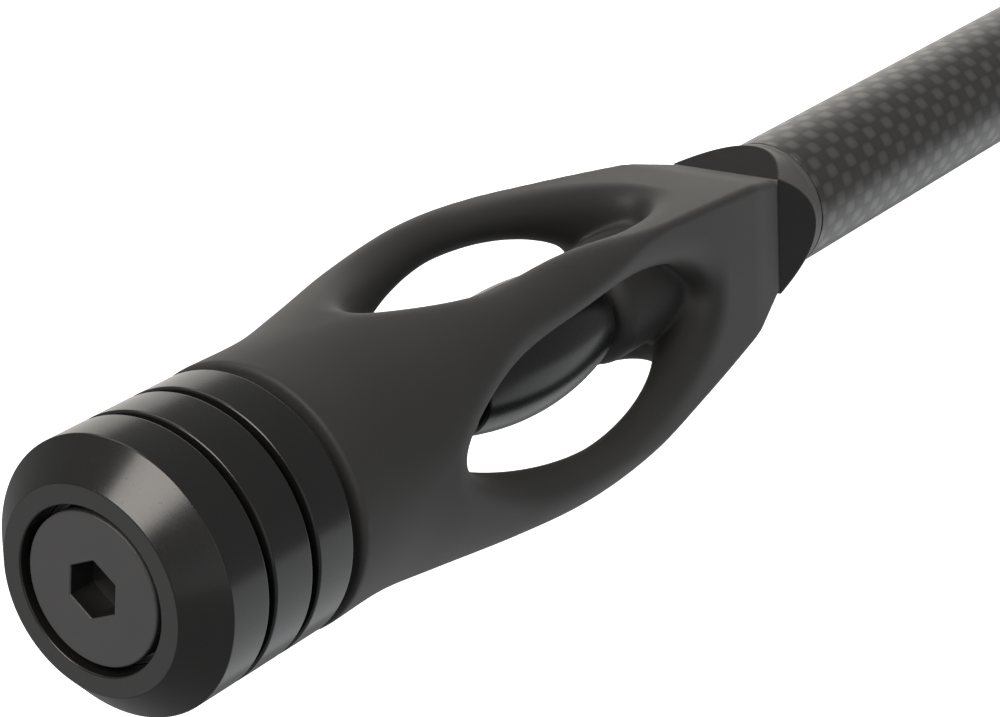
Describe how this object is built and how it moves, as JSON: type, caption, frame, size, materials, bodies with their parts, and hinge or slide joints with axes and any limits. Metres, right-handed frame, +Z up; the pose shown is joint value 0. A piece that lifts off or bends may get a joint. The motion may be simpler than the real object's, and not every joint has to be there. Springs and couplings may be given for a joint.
{
  "type": "bow stabilizer",
  "caption": "Straight carbon rod with a screw-in end, an open rubber damper cage around a barrel-shaped mass, and stacked disc weights held by a hex socket bolt.",
  "frame": {"origin": "centre of the face that seats against the bow's riser", "axes": "+X along the rod from the riser to the end weights, +Z up, the damper's flat sides facing Y and Z"},
  "size_m": [0.268, 0.033, 0.033],
  "materials": {
    "black_anodised": "satin black anodised, fine turning marks",
    "black_bolt": "black oxide, semi-matt",
    "damper_rubber": "matt soft-touch charcoal rubber",
    "black_rubber": "matt black rubber",
    "black_nylon": "matt black nylon",
    "barrel_black": "gloss black anodised",
    "ferrule_grey": "satin grey-black anodised",
    "carbon_weave": "plain weave carbon fibre under satin resin",
    "steel": "bright zinc plated steel",
    "bare_aluminium": "machined aluminium, hidden inside the rubber"
  },
  "bodies": {
    "rod": {"riser_stud": "steel", "riser_washer": "black_nylon", "bow_ferrule": "ferrule_grey", "stud_lock_screw": "black_bolt", "bow_end_ring": "black_rubber", "carbon_tube": "carbon_weave", "tube_end_ring": "black_rubber", "damper_ferrule": "ferrule_grey", "coupling_stud": "steel", "rear_insert": "bare_aluminium"},
    "core": {"damper_cage": "damper_rubber", "barrel_mass": "barrel_black", "barrel_pin": "steel", "cushion_ring_front": "black_rubber", "cushion_ring_rear": "black_rubber"},
    "head": {"front_insert": "bare_aluminium", "weight_disc_rear": "black_anodised", "spacer_washer_rear": "black_nylon", "weight_disc_front": "black_anodised", "spacer_washer_front": "black_nylon", "nose_weight": "black_anodised"},
    "bolt_carrier": {"bolt_washer": "steel"},
    "bolt": {"weight_bolt": "black_bolt"}
  },
  "joints": [
    {"name": "damper_flex_vertical", "type": "hinge", "parent": "rod", "child": "core", "pos_m": [0.15, 0, 0], "axis": [0, 1, 0], "range_deg": [-6, 6], "stiffness_Nm_per_rad": 12, "deforming": ["damper_cage"]},
    {"name": "damper_flex_sideways", "type": "hinge", "parent": "core", "child": "head", "pos_m": [0.204, 0, 0], "axis": [0, 0, 1], "range_deg": [-6, 6], "stiffness_Nm_per_rad": 12, "deforming": ["damper_cage"]},
    {"name": "weight_bolt_travel", "type": "slide", "parent": "head", "child": "bolt_carrier", "axis": [1, 0, 0], "range_m": [0, 0.01588]},
    {"name": "weight_bolt_turn", "type": "hinge", "parent": "bolt_carrier", "child": "bolt", "pos_m": [0.244, 0, 0], "axis": [1, 0, 0], "range_deg": [0, 5400]}
  ],
  "couplings": [
    {"joint": "weight_bolt_travel", "follows": "weight_bolt_turn", "m_per_rad": 0.00016844}
  ]
}
